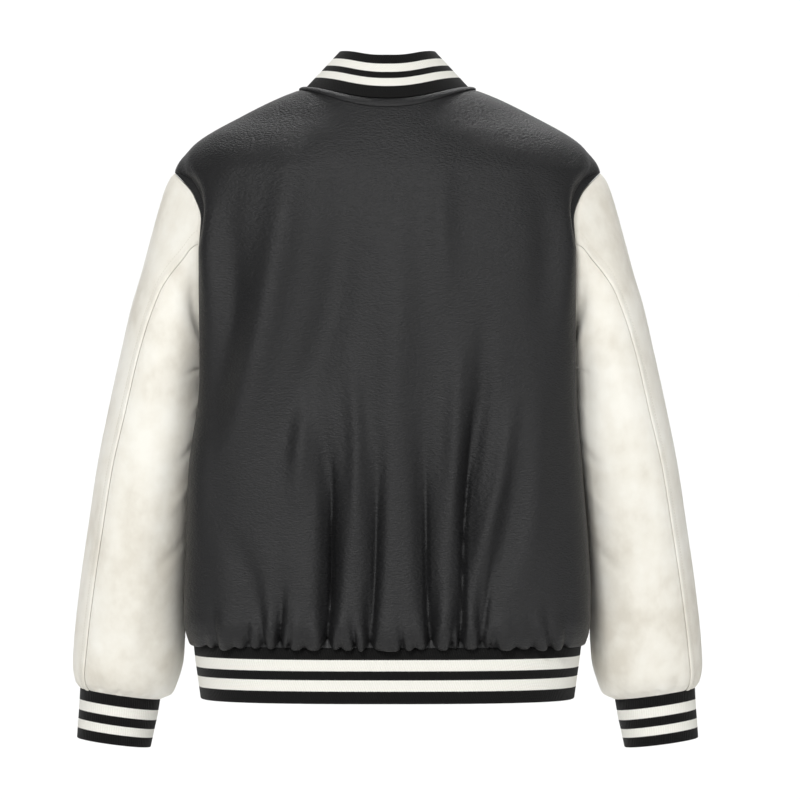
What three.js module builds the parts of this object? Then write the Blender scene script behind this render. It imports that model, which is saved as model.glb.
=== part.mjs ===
// A snap-front varsity jacket, filled out as it is worn, with its arms hanging.
// Millimetres, +Z up. The origin is midway between the two shoulder high points, where the wearer carries it.
// The wearer faces +Y, so the back is towards -Y and the wearer's right is +X.
import * as THREE from "three";

// ---- Driving sizes ----
const BODY_WALL = 1.8; // coated cloth of the body
const SLEEVE_WALL = 1.8; // suede of the sleeves
const RIB_WALL = 3; // doubled rib knit
const SEAM_GAP = 0.3; // between two pieces sewn together
const LAP_GAP = 0.6; // between the two fronts where they overlap
const LAP = 14; // each front runs this far past the centre line
const ARMHOLE = { z: -192, height: 98, back: 70, front: 74 }; // half sizes of the armhole seen from the side
const NECK = { half: 91, back: 76, front: 95 }; // half sizes of the neck seam seen from above
const COLLAR_WIDTH = 56;
const COLLAR_ROWS = 2; // cells up the collar
const COLLAR_GAP = 0.6; // a little more than at other seams, as one front is tucked under it
const COLLAR_LEAN = { back: 62, side: 47, front: 56 }; // degrees above the horizontal
const COLLAR_CORNER = 16; // round corners at the two front ends
const HEM_Z = -615; // seam between body and waistband
const LEVEL_BELOW = -300; // rows of the body are level below this height
const ARM_REACH = 100; // the arm shapes the side of the body this far to the front and back
const SNAP = { radius: 7.5, height: 2.4, first: -106, step: -90, count: 7 };
const BACK_COLUMNS = 13; // cells from the centre line to the side
const FRONT_COLUMNS = 11;
const ARMHOLE_CELLS = 9; // cells from the bottom of an armhole to its top
const TOP_CELLS = 8; // cells across a sleeve's top panel
const UNDER_CELLS = 10; // cells across a sleeve's under panel
const CUFF_CELLS = 20; // cells round a cuff
const BAND_CELLS = 38; // cells along the waistband
const SLEEVE_SEAM = 80; // degrees from the outer line of the arm to its two seams, at the armhole
const SLEEVE_RADIUS = 70; // from the middle of a sleeve to its seams, about
const PANEL_HALF = 250; // from the centre line of the back or a front to its side seam, along the cloth
const SIDE_SHARE = 1 - SEAM_GAP / 2 / PANEL_HALF; // a body panel stops half a seam gap short of its side seam
const COLLAR_SPLIT = 1.2; // from the centre front line to each end of the collar
const NECK_LOWEST = -160; // no point of the neck seam is lower
const SHOULDER_FADE_END = -204; // below this ring a sleeve no longer follows the shape of the armhole

// Level sections of the body. half: half width of the rounded box; side: half width at the side line, where the
// arm pushes the cloth in or the shoulder carries it out; back, front: depths; square: 2 is an ellipse.
const BODY = [
  { z: 14, half: 46, side: 46, back: 44, front: 44, square: 1.9 },
  { z: 0, half: 91, side: 91, back: 65, front: 62, square: 1.9 },
  { z: -10, half: 118, side: 118, back: 72, front: 68, square: 1.9 },
  { z: -31, half: 161, side: 161, back: 86, front: 77, square: 1.9 },
  { z: -58, half: 204, side: 208, back: 101, front: 87, square: 2.2 },
  { z: -71, half: 210, side: 222, back: 107, front: 91, square: 2.5 },
  { z: -85, half: 213, side: 233, back: 113, front: 95, square: 2.8 },
  { z: -94, half: 215, side: 236, back: 116, front: 98, square: 3 },
  { z: -124, half: 219, side: 213, back: 123, front: 107, square: 3.2 },
  { z: -151, half: 221, side: 188, back: 128, front: 114, square: 3.3 },
  { z: -192, half: 222, side: 187, back: 132, front: 123, square: 3.3 },
  { z: -290, half: 222, side: 180, back: 135, front: 133, square: 3.3 },
  { z: -350, half: 223, side: 190, back: 134, front: 136, square: 3.2 },
  { z: -404, half: 227, side: 201, back: 134, front: 136, square: 3.1 },
  { z: -457, half: 231, side: 209, back: 135, front: 136, square: 3 },
  { z: -511, half: 234, side: 215, back: 137, front: 137, square: 3 },
  { z: -564, half: 236, side: 219, back: 139, front: 138, square: 2.9 },
  { z: -586, half: 235, side: 219, back: 139, front: 137, square: 2.9 },
  { z: -600, half: 230, side: 219, back: 136, front: 134, square: 2.8 },
  { z: -609, half: 223, side: 217, back: 130, front: 128, square: 2.7 },
  { z: -615, half: 215, side: 214, back: 123, front: 121, square: 2.7 },
];

// The waistband, from its seam down.
const BAND = [
  { z: -615.3, half: 215, side: 215, back: 123, front: 121, square: 2.7 },
  { z: -632, half: 213, side: 213, back: 122, front: 120, square: 2.7 },
  { z: -654, half: 210, side: 210, back: 120, front: 118, square: 2.7 },
  { z: -676, half: 207, side: 207, back: 118, front: 116, square: 2.7 },
];

// Rings of a sleeve, each a closed loop between its outer and inner point, seen from behind. The rings fan out
// round the armpit. y: how far forward its middle is; depth: half depth; seam: degrees to the elbow seam.
const SLEEVE = [
  { z: -94, x: 236, innerX: 180, innerZ: -290, y: 0, depth: 72, seam: 80 },
  { z: -100, x: 241, innerX: 184.5, innerZ: -290.5, y: 0, depth: 72, seam: 79 },
  { z: -110, x: 246, innerX: 188, innerZ: -292.5, y: 0, depth: 72, seam: 77 },
  { z: -130, x: 252.5, innerX: 190.5, innerZ: -296, y: 0, depth: 72, seam: 74 },
  { z: -164, x: 262, innerX: 192.5, innerZ: -301, y: 1, depth: 73, seam: 68 },
  { z: -204, x: 273, innerX: 194, innerZ: -307, y: 2, depth: 74, seam: 63 },
  { z: -244, x: 285, innerX: 195.5, innerZ: -315, y: 3, depth: 75, seam: 60 },
  { z: -297, x: 297, innerX: 197.5, innerZ: -330, y: 5, depth: 75, seam: 56 },
  { z: -351, x: 309, innerX: 202.5, innerZ: -372, y: 8, depth: 73, seam: 54 },
  { z: -417, x: 322.5, innerX: 213, innerZ: -434, y: 13, depth: 70.5, seam: 50.5 },
  { z: -484, x: 333, innerX: 220, innerZ: -501, y: 20, depth: 67.5, seam: 48.5 },
  { z: -551, x: 343, innerX: 224.5, innerZ: -568, y: 27, depth: 64, seam: 46.5 },
  { z: -617, x: 350.5, innerX: 228, innerZ: -634, y: 35, depth: 59, seam: 44 },
  { z: -644, x: 352, innerX: 234.5, innerZ: -661, y: 38, depth: 56, seam: 43 },
  { z: -659, x: 350, innerX: 241, innerZ: -675, y: 40, depth: 50, seam: 42 },
  { z: -668, x: 344, innerX: 254, innerZ: -681, y: 41, depth: 41, seam: 42 },
];

// Rings of a cuff.
const CUFF = [
  { z: -668.4, x: 344, innerX: 254.5, innerZ: -681.5, y: 41, depth: 41 },
  { z: -686, x: 345, innerX: 257.5, innerZ: -698.5, y: 43, depth: 40 },
  { z: -704, x: 346.5, innerX: 261.5, innerZ: -716.5, y: 45, depth: 39 },
  { z: -724, x: 348, innerX: 265.5, innerZ: -735, y: 47, depth: 38 },
];

// The strip along the neck seam: its edges, how far it is lifted off the body, and how far short of the front it stops.
const WELT = { edges: [1, 4, 7], lift: 0.7, wall: 1.2, end: 12 };

// Folds of the body, each a soft ridge (deep above 0) or trough (below 0). x, z: its middle; wide: from its middle
// to its edge; tall: its whole length; slant: how far x moves for each millimetre of height.
const BACK_FOLDS = [
  { x: -118, z: -165, wide: 34, tall: 300, slant: 0.1, deep: 4 },
  { x: -152, z: -325, wide: 34, tall: 280, slant: 0.25, deep: 4.5 },
  { x: -76, z: -230, wide: 44, tall: 420, slant: 0.1, deep: -4 },
  { x: -97, z: -400, wide: 26, tall: 200, slant: 0.05, deep: 3 },
  { x: -63, z: -525, wide: 28, tall: 260, slant: 0, deep: -5 },
  { x: -33, z: -430, wide: 24, tall: 260, slant: 0, deep: 3 },
  { x: 4, z: -240, wide: 60, tall: 420, slant: 0, deep: 3 },
  { x: -11, z: -480, wide: 22, tall: 200, slant: 0, deep: -3 },
  { x: 42, z: -480, wide: 30, tall: 220, slant: 0, deep: -3.5 },
  { x: 75, z: -420, wide: 30, tall: 260, slant: 0.03, deep: 3 },
  { x: 97, z: -440, wide: 26, tall: 300, slant: 0.1, deep: -3.5 },
  { x: 128, z: -430, wide: 30, tall: 220, slant: 0.25, deep: 3 },
  { x: -196, z: -125, wide: 22, tall: 160, slant: 0, deep: 3.5 },
  { x: 196, z: -125, wide: 22, tall: 160, slant: 0, deep: 3.5 },
];
const FRONT_FOLDS = [
  { x: -150, z: -200, wide: 34, tall: 240, slant: -0.1, deep: 4 },
  { x: -112, z: -330, wide: 34, tall: 300, slant: -0.08, deep: -4 },
  { x: -74, z: -440, wide: 28, tall: 260, slant: 0, deep: 3 },
  { x: -140, z: -500, wide: 26, tall: 190, slant: 0.05, deep: 3.5 },
  { x: 138, z: -190, wide: 34, tall: 220, slant: 0.12, deep: 4 },
  { x: 100, z: -300, wide: 32, tall: 320, slant: 0.06, deep: -3.5 },
  { x: 70, z: -470, wide: 28, tall: 230, slant: 0, deep: 3 },
  { x: 146, z: -455, wide: 30, tall: 250, slant: -0.06, deep: -4 },
  { x: 172, z: -520, wide: 26, tall: 160, slant: 0, deep: 3 },
];
const FOLD_FADE = 28; // folds die out over this height above the waistband

const FINISH = {
  body: { color: 0x1c1c1e, roughness: 0.5, metalness: 0 },
  sleeve: { color: 0xe9e6da, roughness: 0.9, metalness: 0 },
  rib: { color: 0x161616, roughness: 0.95, metalness: 0 },
  snap: { color: 0x2a2a2c, roughness: 0.35, metalness: 0.9 },
};

// ---- Small tools ----
const radians = THREE.MathUtils.degToRad;
const mix = THREE.MathUtils.lerp;
const smooth = (t) => THREE.MathUtils.smoothstep(t, 0, 1);
const steps = (count) => Array.from({ length: count + 1 }, (_, i) => i / count);

// A column of a table at height z, by monotone cubic interpolation between its rows.
function column(table, name, z) {
  const last = table.length - 2;
  let i = 0;
  while (i < last && z < table[i + 1].z) i += 1;
  const slope = (k) => (table[k + 1][name] - table[k][name]) / (table[k + 1].z - table[k].z);
  const tangent = (k) => {
    const before = slope(Math.max(k - 1, 0));
    const after = slope(Math.min(k, table.length - 2));
    return before * after <= 0 ? 0 : (2 * before * after) / (before + after);
  };
  const width = table[i + 1].z - table[i].z;
  const t = THREE.MathUtils.clamp((z - table[i].z) / width, 0, 1);
  const a = table[i][name];
  const b = table[i + 1][name];
  const rise = b - a;
  const ma = tangent(i) * width;
  const mb = tangent(i + 1) * width;
  return a + t * (ma + t * (3 * rise - 2 * ma - mb + t * (ma + mb - 2 * rise)));
}

function row(table, z) {
  return Object.fromEntries(Object.keys(table[0]).map((name) => [name, name === "z" ? z : column(table, name, z)]));
}

// The outward unit normal of a surface given as f(a, b), worked out from two small steps.
function normalOf(f, a, b, stepA, stepB, outwards) {
  const alongA = f(a + stepA, b).sub(f(a - stepA, b));
  const alongB = f(a, b + stepB).sub(f(a, b - stepB));
  const normal = alongA.cross(alongB).normalize();
  return normal.dot(outwards) < 0 ? normal.negate() : normal;
}

// ---- The body's form ----
// A point of a level section. angle: 0 at the centre back, 90 degrees at the wearer's right side, 180 at the front.
function sectionPoint(table, angle, z) {
  const s = row(table, z);
  const across = Math.sin(angle);
  const along = Math.cos(angle);
  const depth = along > 0 ? s.back : s.front;
  const power = s.square;
  const radius = (Math.abs(across / s.half) ** power + Math.abs(along / depth) ** power) ** (-1 / power);
  const y = -radius * along;
  const pull = Math.abs(y) < ARM_REACH ? Math.cos((Math.PI / 2) * (y / ARM_REACH)) ** 2 : 0;
  const x = radius * across + Math.sign(across) * (s.side - s.half) * pull * Math.abs(across);
  return new THREE.Vector3(x, y, z);
}

function sectionNormal(table, angle, z) {
  const out = new THREE.Vector3(Math.sin(angle), -Math.cos(angle), 0);
  return normalOf((a, h) => sectionPoint(table, a, h), angle, z, 0.004, 0.4, out);
}

// How high the body's form is over a point of the plan, near the neck.
function heightOver(x, y) {
  let low = NECK_LOWEST;
  let high = BODY[0].z;
  for (let i = 0; i < 40; i += 1) {
    const middle = (low + high) / 2;
    const s = row(BODY, middle);
    const depth = y < 0 ? s.back : s.front;
    const inside = Math.abs(x / s.half) ** s.square + Math.abs(y / depth) ** s.square < 1;
    if (inside) low = middle;
    else high = middle;
  }
  return low;
}

// How far the folds of a table lift the cloth at a place.
function foldDepth(folds, x, z) {
  const bump = (d) => (Math.abs(d) < 1 ? Math.cos((Math.PI / 2) * d) ** 2 : 0);
  const lift = (f) => f.deep * bump((x - f.x - f.slant * (z - f.z)) / f.wide) * bump((2 * (z - f.z)) / f.tall);
  return folds.reduce((sum, f) => sum + lift(f), 0) * smooth((z - HEM_Z) / FOLD_FADE);
}

// The neck seam, where the body meets the collar, or a line on the body this far outside it.
function neckPoint(angle, outside = 0) {
  const depth = (Math.cos(angle) > 0 ? NECK.back : NECK.front) + outside;
  const radius = 1 / Math.hypot(Math.sin(angle) / (NECK.half + outside), Math.cos(angle) / depth);
  const x = radius * Math.sin(angle);
  const y = -radius * Math.cos(angle);
  return new THREE.Vector3(x, y, heightOver(x, y));
}

// The angle from the centre line, back or front, at which the armhole cuts the section at this height.
function armholeAngle(z, front) {
  const height = ARMHOLE.height + SEAM_GAP;
  const t = (z - ARMHOLE.z) / height;
  if (Math.abs(t) >= 1) return Math.PI / 2;
  const y = ((front ? ARMHOLE.front : ARMHOLE.back) + SEAM_GAP) * Math.sqrt(1 - t * t);
  const s = row(BODY, z);
  const depth = front ? s.front : s.back;
  const x = s.half * (1 - (y / depth) ** s.square) ** (1 / s.square);
  return Math.atan2(x, y);
}

// The heights, at the side of the body, of the rows of its panels.
function bodyLevels() {
  const height = ARMHOLE.height + SEAM_GAP;
  const bottom = [HEM_Z, -609, -598, -570, -515, -455, -395, -335];
  const armhole = steps(ARMHOLE_CELLS).map((t) => ARMHOLE.z - height * Math.cos(Math.PI * t));
  const shoulder = [-75, -52, -30, -12, 0];
  return [...bottom, ...armhole, ...shoulder];
}

// A point of the back or front, u of the way from its centre line to its side, on the row that ends at side height z.
function bodyPlace(front, u, z) {
  const turn = (share, end) => (front ? Math.PI - share * end : share * end);
  const neck = (share) => neckPoint(turn(share, Math.PI / 2)).z;
  const drop = neck(1) - neck(0);
  const rise = (neck(Math.abs(u)) - neck(0)) / drop;
  const fade = smooth((z - LEVEL_BELOW) / -LEVEL_BELOW);
  const end = armholeAngle(z, front);
  return { angle: turn(u, end), z: z - drop * fade * (1 - rise) };
}

// ---- Walls ----
// A closed wall between an outer and an inner grid of points, each a list of rows.
function wallGeometry(outer, inner, closed = false) {
  const rows = outer.length;
  const columns = outer[0].length;
  const points = [...outer.flat(), ...inner.flat()];
  const at = (side, i, j) => side * rows * columns + i * columns + (j % columns);
  const faces = [];
  const quad = (a, b, c, d) => faces.push(a, b, c, a, c, d);
  const across = closed ? columns : columns - 1;
  for (let i = 0; i < rows - 1; i += 1) {
    for (let j = 0; j < across; j += 1) {
      // Both faces of the wall are split along the shorter diagonal of the outer one.
      const [a, b, c, d] = [at(0, i, j), at(0, i, j + 1), at(0, i + 1, j + 1), at(0, i + 1, j)];
      const deeper = rows * columns;
      const first = points[a].distanceTo(points[c]) < points[b].distanceTo(points[d]);
      if (first) quad(a, b, c, d);
      else quad(b, c, d, a);
      if (first) quad(a + deeper, d + deeper, c + deeper, b + deeper);
      else quad(b + deeper, a + deeper, d + deeper, c + deeper);
    }
    if (closed) continue;
    quad(at(0, i, 0), at(0, i + 1, 0), at(1, i + 1, 0), at(1, i, 0));
    quad(at(0, i, columns - 1), at(1, i, columns - 1), at(1, i + 1, columns - 1), at(0, i + 1, columns - 1));
  }
  for (let j = 0; j < across; j += 1) {
    quad(at(0, 0, j), at(1, 0, j), at(1, 0, j + 1), at(0, 0, j + 1));
    quad(at(0, rows - 1, j), at(0, rows - 1, j + 1), at(1, rows - 1, j + 1), at(1, rows - 1, j));
  }
  if (signedVolume(points, faces) < 0) faces.reverse();
  const geometry = new THREE.BufferGeometry().setFromPoints(points);
  geometry.setIndex(faces);
  geometry.computeVertexNormals();
  return geometry;
}

function signedVolume(points, faces) {
  let volume = 0;
  for (let i = 0; i < faces.length; i += 3) {
    const [a, b, c] = [points[faces[i]], points[faces[i + 1]], points[faces[i + 2]]];
    volume += a.dot(b.clone().cross(c)) / 6;
  }
  return volume;
}

const jacket = new THREE.Group();

function addPiece(name, finish, geometry) {
  const mesh = new THREE.Mesh(geometry, new THREE.MeshStandardMaterial(FINISH[finish]));
  mesh.name = name;
  jacket.add(mesh);
  return mesh;
}

function mirrored(grid) {
  return grid.map((line) => line.map((p) => new THREE.Vector3(-p.x, p.y, p.z)));
}

// ---- Back and fronts ----
function bodyWallGrids(shares, front, tuck) {
  const folds = front ? FRONT_FOLDS : BACK_FOLDS;
  const outer = [];
  const inner = [];
  for (const z of bodyLevels()) {
    const places = shares.map((u) => bodyPlace(front, u, z));
    const normals = places.map((p) => sectionNormal(BODY, p.angle, p.z));
    const skin = places.map((place, j) => {
      const p = sectionPoint(BODY, place.angle, place.z);
      return p.addScaledVector(normals[j], foldDepth(folds, p.x, p.z) - tuck(shares[j]));
    });
    outer.push(skin);
    inner.push(skin.map((p, j) => p.clone().addScaledVector(normals[j], -BODY_WALL)));
  }
  return [outer, inner];
}

function addBack() {
  const shares = steps(2 * BACK_COLUMNS).map((t) => (2 * t - 1) * SIDE_SHARE);
  addPiece("back_panel", "body", wallGeometry(...bodyWallGrids(shares, false, () => 0)));
}

// One front. The wearer's left front lies over the right one, which tucks in behind it past the edge of the lap.
function addFront(name, side, under) {
  const lap = -LAP / (NECK.front * (Math.PI / 2));
  const shares = [lap, lap / 2, ...steps(FRONT_COLUMNS).map((t) => t * SIDE_SHARE)];
  const tucked = BODY_WALL + LAP_GAP;
  const tuck = (u) => (under ? tucked * (1 - smooth((u + lap) * FRONT_COLUMNS)) : 0);
  const turned = shares.map((u) => u * side);
  addPiece(name, "body", wallGeometry(...bodyWallGrids(turned, true, (u) => tuck(u * side))));
}

// ---- Sleeves and cuffs ----
function ringPoint(table, turn, z) {
  const s = row(table, z);
  const across = Math.cos(turn) / 2;
  return new THREE.Vector3(
    (s.x + s.innerX) / 2 + (s.x - s.innerX) * across,
    s.y - s.depth * Math.sin(turn),
    (s.z + s.innerZ) / 2 + (s.z - s.innerZ) * across,
  );
}

// A point of the armhole seam. turn: 0 at the shoulder point, 90 degrees at the back, 180 at the armpit.
function armholePoint(turn) {
  const z = ARMHOLE.z + ARMHOLE.height * Math.cos(turn);
  const front = Math.sin(turn) < 0;
  const y = -(front ? ARMHOLE.front : ARMHOLE.back) * Math.sin(turn);
  const s = row(BODY, z);
  const x = s.half * (1 - Math.abs(y / (front ? s.front : s.back)) ** s.square) ** (1 / s.square);
  return sectionPoint(BODY, Math.atan2(x, -y), z);
}

function sleevePoint(turn, z) {
  const fade = smooth((z - SHOULDER_FADE_END) / (SLEEVE[0].z - SHOULDER_FADE_END));
  const shift = armholePoint(turn).sub(ringPoint(SLEEVE, turn, SLEEVE[0].z));
  return ringPoint(SLEEVE, turn, z).addScaledVector(shift, fade);
}

function sleeveNormal(turn, z) {
  const middle = ringPoint(SLEEVE, 0, z).add(ringPoint(SLEEVE, Math.PI, z)).multiplyScalar(0.5);
  return normalOf(sleevePoint, turn, z, 0.02, 0.4, sleevePoint(turn, z).sub(middle));
}

// At the armhole the sleeve's edge is cut square to the body, so the two edges face each other.
function armholeNormal(turn) {
  const p = armholePoint(turn);
  return sectionNormal(BODY, Math.atan2(Math.abs(p.x), -p.y), p.z);
}

// One of a sleeve's two panels, between two of its seams.
function addSleevePanel(name, side, cells, turnRange) {
  const outer = [];
  const inner = [];
  for (const { z } of SLEEVE) {
    const [from, to] = turnRange(z);
    const turns = steps(cells).map((t) => mix(from, to, t));
    const skin = turns.map((turn) => sleevePoint(turn, z));
    const square = z === SLEEVE[0].z;
    const normals = turns.map((turn) => (square ? armholeNormal(turn) : sleeveNormal(turn, z)));
    outer.push(skin);
    inner.push(skin.map((p, j) => p.clone().addScaledVector(normals[j], -SLEEVE_WALL)));
  }
  const grids = side > 0 ? [outer, inner] : [mirrored(outer), mirrored(inner)];
  addPiece(name, "sleeve", wallGeometry(...grids));
}

function addSleeve(word, side) {
  const gap = SEAM_GAP / 2 / SLEEVE_RADIUS;
  const elbow = (z) => radians(column(SLEEVE, "seam", z));
  const inside = radians(-SLEEVE_SEAM);
  addSleevePanel(`sleeve_top_${word}`, side, TOP_CELLS, (z) => [inside + gap, elbow(z) - gap]);
  addSleevePanel(`sleeve_under_${word}`, side, UNDER_CELLS, (z) => [elbow(z) + gap, inside + 2 * Math.PI - gap]);
}

function addCuff(word, side) {
  const turns = steps(CUFF_CELLS).slice(0, CUFF_CELLS).map((t) => t * 2 * Math.PI);
  const outer = CUFF.map((s) => turns.map((turn) => ringPoint(CUFF, turn, s.z)));
  const inner = CUFF.map((s) => {
    const middle = ringPoint(CUFF, 0, s.z).add(ringPoint(CUFF, Math.PI, s.z)).multiplyScalar(0.5);
    return turns.map((turn) => {
      const p = ringPoint(CUFF, turn, s.z);
      const outwards = p.clone().sub(middle);
      return p.addScaledVector(normalOf((a, h) => ringPoint(CUFF, a, h), turn, s.z, 0.02, 0.4, outwards), -RIB_WALL);
    });
  });
  const grids = side > 0 ? [outer, inner] : [mirrored(outer), mirrored(inner)];
  addPiece(`cuff_${word}`, "rib", wallGeometry(...grids, true));
}

// ---- Collar ----
// A point of the collar, share of the way up from the neck seam.
function collarPoint(angle, share) {
  const turned = Math.abs(angle);
  const half = Math.PI / 2;
  const lean = turned < half
    ? mix(COLLAR_LEAN.back, COLLAR_LEAN.side, smooth(turned / half))
    : mix(COLLAR_LEAN.side, COLLAR_LEAN.front, smooth((turned - half) / half));
  const foot = neckPoint(angle);
  const along = neckPoint(angle + 0.01).sub(neckPoint(angle - 0.01)).normalize();
  const inwards = new THREE.Vector3(-along.y, along.x, 0).normalize();
  if (inwards.dot(foot) > 0) inwards.negate();
  const up = inwards.multiplyScalar(Math.cos(radians(lean)));
  up.z = Math.sin(radians(lean));
  up.addScaledVector(along, -up.dot(along)).normalize();
  return foot.addScaledVector(up, COLLAR_GAP + share * COLLAR_WIDTH);
}

// Angles round the neck from one front end to the other, one for each column of the body.
function neckAngles(end) {
  const quarter = (cells) => steps(cells).map((t) => (t * Math.PI) / 2);
  const front = quarter(FRONT_COLUMNS).slice(1, -1).map((a) => a + Math.PI / 2);
  const right = [...quarter(BACK_COLUMNS), ...front, end];
  return [...right.slice(1).reverse().map((a) => -a), ...right];
}

function addCollar() {
  const end = Math.PI - COLLAR_SPLIT / NECK.front;
  const angles = neckAngles(end);
  // The two front ends have round upper corners.
  const reach = (angle) => {
    const left = THREE.MathUtils.clamp(1 - ((end - Math.abs(angle)) * NECK.front) / COLLAR_CORNER, 0, 1);
    return 1 - (COLLAR_CORNER / COLLAR_WIDTH) * (1 - Math.sqrt(1 - left * left));
  };
  const out = (angle) => neckPoint(angle).setZ(0);
  const skin = steps(COLLAR_ROWS).map((share) => angles.map((a) => collarPoint(a, share * reach(a))));
  const inner = steps(COLLAR_ROWS).map((share, i) =>
    angles.map((a, j) => {
      // The sewn edge is cut square to the body, so the two edges face each other.
      const sewn = () => sectionNormal(BODY, a, neckPoint(a).z);
      const free = () => normalOf(collarPoint, a, share * reach(a), 0.01, 0.02, out(a));
      return skin[i][j].clone().addScaledVector(i === 0 ? sewn() : free(), -RIB_WALL);
    }),
  );
  addPiece("collar_rib", "rib", wallGeometry(skin, inner));
}

// ---- Neck welt ----
// A strip laid on the body along the neck seam, made from the body's points, moved out.
function addWelt() {
  const end = Math.PI - WELT.end / NECK.front;
  const angles = neckAngles(end);
  const layer = (height) =>
    WELT.edges.map((outside) =>
      angles.map((angle) => {
        const p = neckPoint(angle, outside);
        return p.addScaledVector(sectionNormal(BODY, angle, p.z), height);
      }),
    );
  addPiece("neck_welt", "body", wallGeometry(layer(WELT.lift + WELT.wall), layer(WELT.lift)));
}

// ---- Waistband ----
// It runs once round the body, and its left end laps over its right end at the centre front.
function addWaistband() {
  const lap = LAP / BAND[0].front;
  const from = -Math.PI - lap;
  const to = Math.PI + lap;
  const angles = steps(BAND_CELLS).map((t) => mix(from, to, t));
  const tucked = RIB_WALL + LAP_GAP;
  const tuck = (angle) => tucked * smooth((angle - (Math.PI - 2.6 * lap)) / lap);
  const normal = (angle, z) => sectionNormal(BAND, angle, z);
  const skin = BAND.map((s) =>
    angles.map((a) => sectionPoint(BAND, a, s.z).addScaledVector(normal(a, s.z), -tuck(a))),
  );
  const inner = BAND.map((s, i) => angles.map((a, j) => skin[i][j].clone().addScaledVector(normal(a, s.z), -RIB_WALL)));
  addPiece("waistband_rib", "rib", wallGeometry(skin, inner));
}

// ---- Snaps ----
function addSnaps() {
  const { radius, height } = SNAP;
  const profile = [[0, 0], [0.95, 0], [1, 0.45], [0.7, 0.85], [0, 1]];
  const outline = profile.map(([r, h]) => new THREE.Vector2(r * radius, h * height));
  for (let i = 0; i < SNAP.count; i += 1) {
    const z = SNAP.first + SNAP.step * i;
    const table = z < HEM_Z ? BAND : BODY;
    const normal = sectionNormal(table, Math.PI, z);
    const cap = addPiece(`snap_${i + 1}`, "snap", new THREE.LatheGeometry(outline, 10));
    cap.position.copy(sectionPoint(table, Math.PI, z)).addScaledVector(normal, SEAM_GAP);
    cap.quaternion.setFromUnitVectors(new THREE.Vector3(0, 1, 0), normal);
  }
}

addBack();
addFront("front_right", 1, true);
addFront("front_left", -1, false);
for (const [word, side] of [["right", 1], ["left", -1]]) {
  addSleeve(word, side);
  addCuff(word, side);
}
addCollar();
addWelt();
addWaistband();
addSnaps();

export default jacket;
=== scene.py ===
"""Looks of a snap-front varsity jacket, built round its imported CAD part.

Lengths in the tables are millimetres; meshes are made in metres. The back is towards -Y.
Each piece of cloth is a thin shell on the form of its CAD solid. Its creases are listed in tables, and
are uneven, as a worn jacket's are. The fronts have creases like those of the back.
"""

import math

import bpy
import numpy as np
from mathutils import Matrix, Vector


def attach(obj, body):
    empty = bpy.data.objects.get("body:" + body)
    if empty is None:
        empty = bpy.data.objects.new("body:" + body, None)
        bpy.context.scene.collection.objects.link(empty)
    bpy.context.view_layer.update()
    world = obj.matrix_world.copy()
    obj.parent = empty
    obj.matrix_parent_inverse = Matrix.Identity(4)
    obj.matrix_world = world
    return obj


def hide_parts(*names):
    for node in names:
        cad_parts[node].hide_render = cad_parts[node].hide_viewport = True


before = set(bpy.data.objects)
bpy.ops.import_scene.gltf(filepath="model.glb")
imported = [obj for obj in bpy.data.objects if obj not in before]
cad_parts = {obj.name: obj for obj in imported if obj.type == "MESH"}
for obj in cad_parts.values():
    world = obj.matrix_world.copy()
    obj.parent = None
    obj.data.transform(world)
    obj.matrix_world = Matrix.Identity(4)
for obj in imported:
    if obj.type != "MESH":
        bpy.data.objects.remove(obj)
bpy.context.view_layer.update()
MM = 0.001

# ---- Sizes shared with the CAD part ----
BODY_WALL, SLEEVE_WALL, RIB_WALL = 1.6, 1.6, 3.0
SEAM_GAP, COLLAR_GAP, LAP_GAP, LAP = 0.3, 0.6, 0.6, 14.0
LAP_PLAY, TUCK_FADE = 0.4, 1 / 11
ARMHOLE = {"z": -192.0, "height": 98.0, "back": 70.0, "front": 74.0}
NECK = {"half": 91.0, "back": 76.0, "front": 95.0}
NECK_LOWEST, HALVINGS = -160.0, 40
COLLAR_WIDTH, COLLAR_CORNER, COLLAR_APART = 56.0, 16.0, 1.2
WELT = {"from_front": 12.0, "first": 1.0, "last": 7.0, "crown": 1.5, "edge": 0.9, "clear": 0.6}
COLLAR_LEAN = {"back": 62.0, "side": 47.0, "front": 56.0}
HEM_Z, LEVEL_BELOW, ARM_REACH = -615.0, -300.0, 100.0
SNAP = {"first": -106.0, "step": -90.0, "count": 7}
SHOULDER_FADE_END = -204.0
SLEEVE_SEAM = 80.0
# A cap's profile as (radius, height), from the middle of its top outwards and down to the cloth.
SNAP_PROFILE = [
    (2.2, 2.36),
    (4.2, 2.2),
    (5.1, 1.85),
    (5.5, 1.6),
    (5.9, 1.85),
    (6.6, 1.75),
    (7.3, 1.2),
    (7.5, 0.6),
    (7.4, 0),
]


def table(names, *rows):
    values = np.array(rows, float)
    return {name: values[:, i] for i, name in enumerate(names.split())}


BODY = table(
    "z half side back front square",
    (14, 46, 46, 44, 44, 1.9),
    (0, 91, 91, 65, 62, 1.9),
    (-10, 118, 118, 72, 68, 1.9),
    (-31, 161, 161, 86, 77, 1.9),
    (-58, 204, 208, 101, 87, 2.2),
    (-71, 210, 222, 107, 91, 2.5),
    (-85, 213, 233, 113, 95, 2.8),
    (-94, 215, 236, 116, 98, 3),
    (-124, 219, 213, 123, 107, 3.2),
    (-151, 221, 188, 128, 114, 3.3),
    (-192, 222, 187, 132, 123, 3.3),
    (-290, 222, 180, 135, 133, 3.3),
    (-350, 223, 190, 134, 136, 3.2),
    (-404, 227, 201, 134, 136, 3.1),
    (-457, 231, 209, 135, 136, 3),
    (-511, 234, 215, 137, 137, 3),
    (-564, 236, 219, 139, 138, 2.9),
    (-586, 235, 219, 139, 137, 2.9),
    (-600, 230, 219, 136, 134, 2.8),
    (-609, 223, 217, 130, 128, 2.7),
    (-615, 215, 214, 123, 121, 2.7),
)
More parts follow.
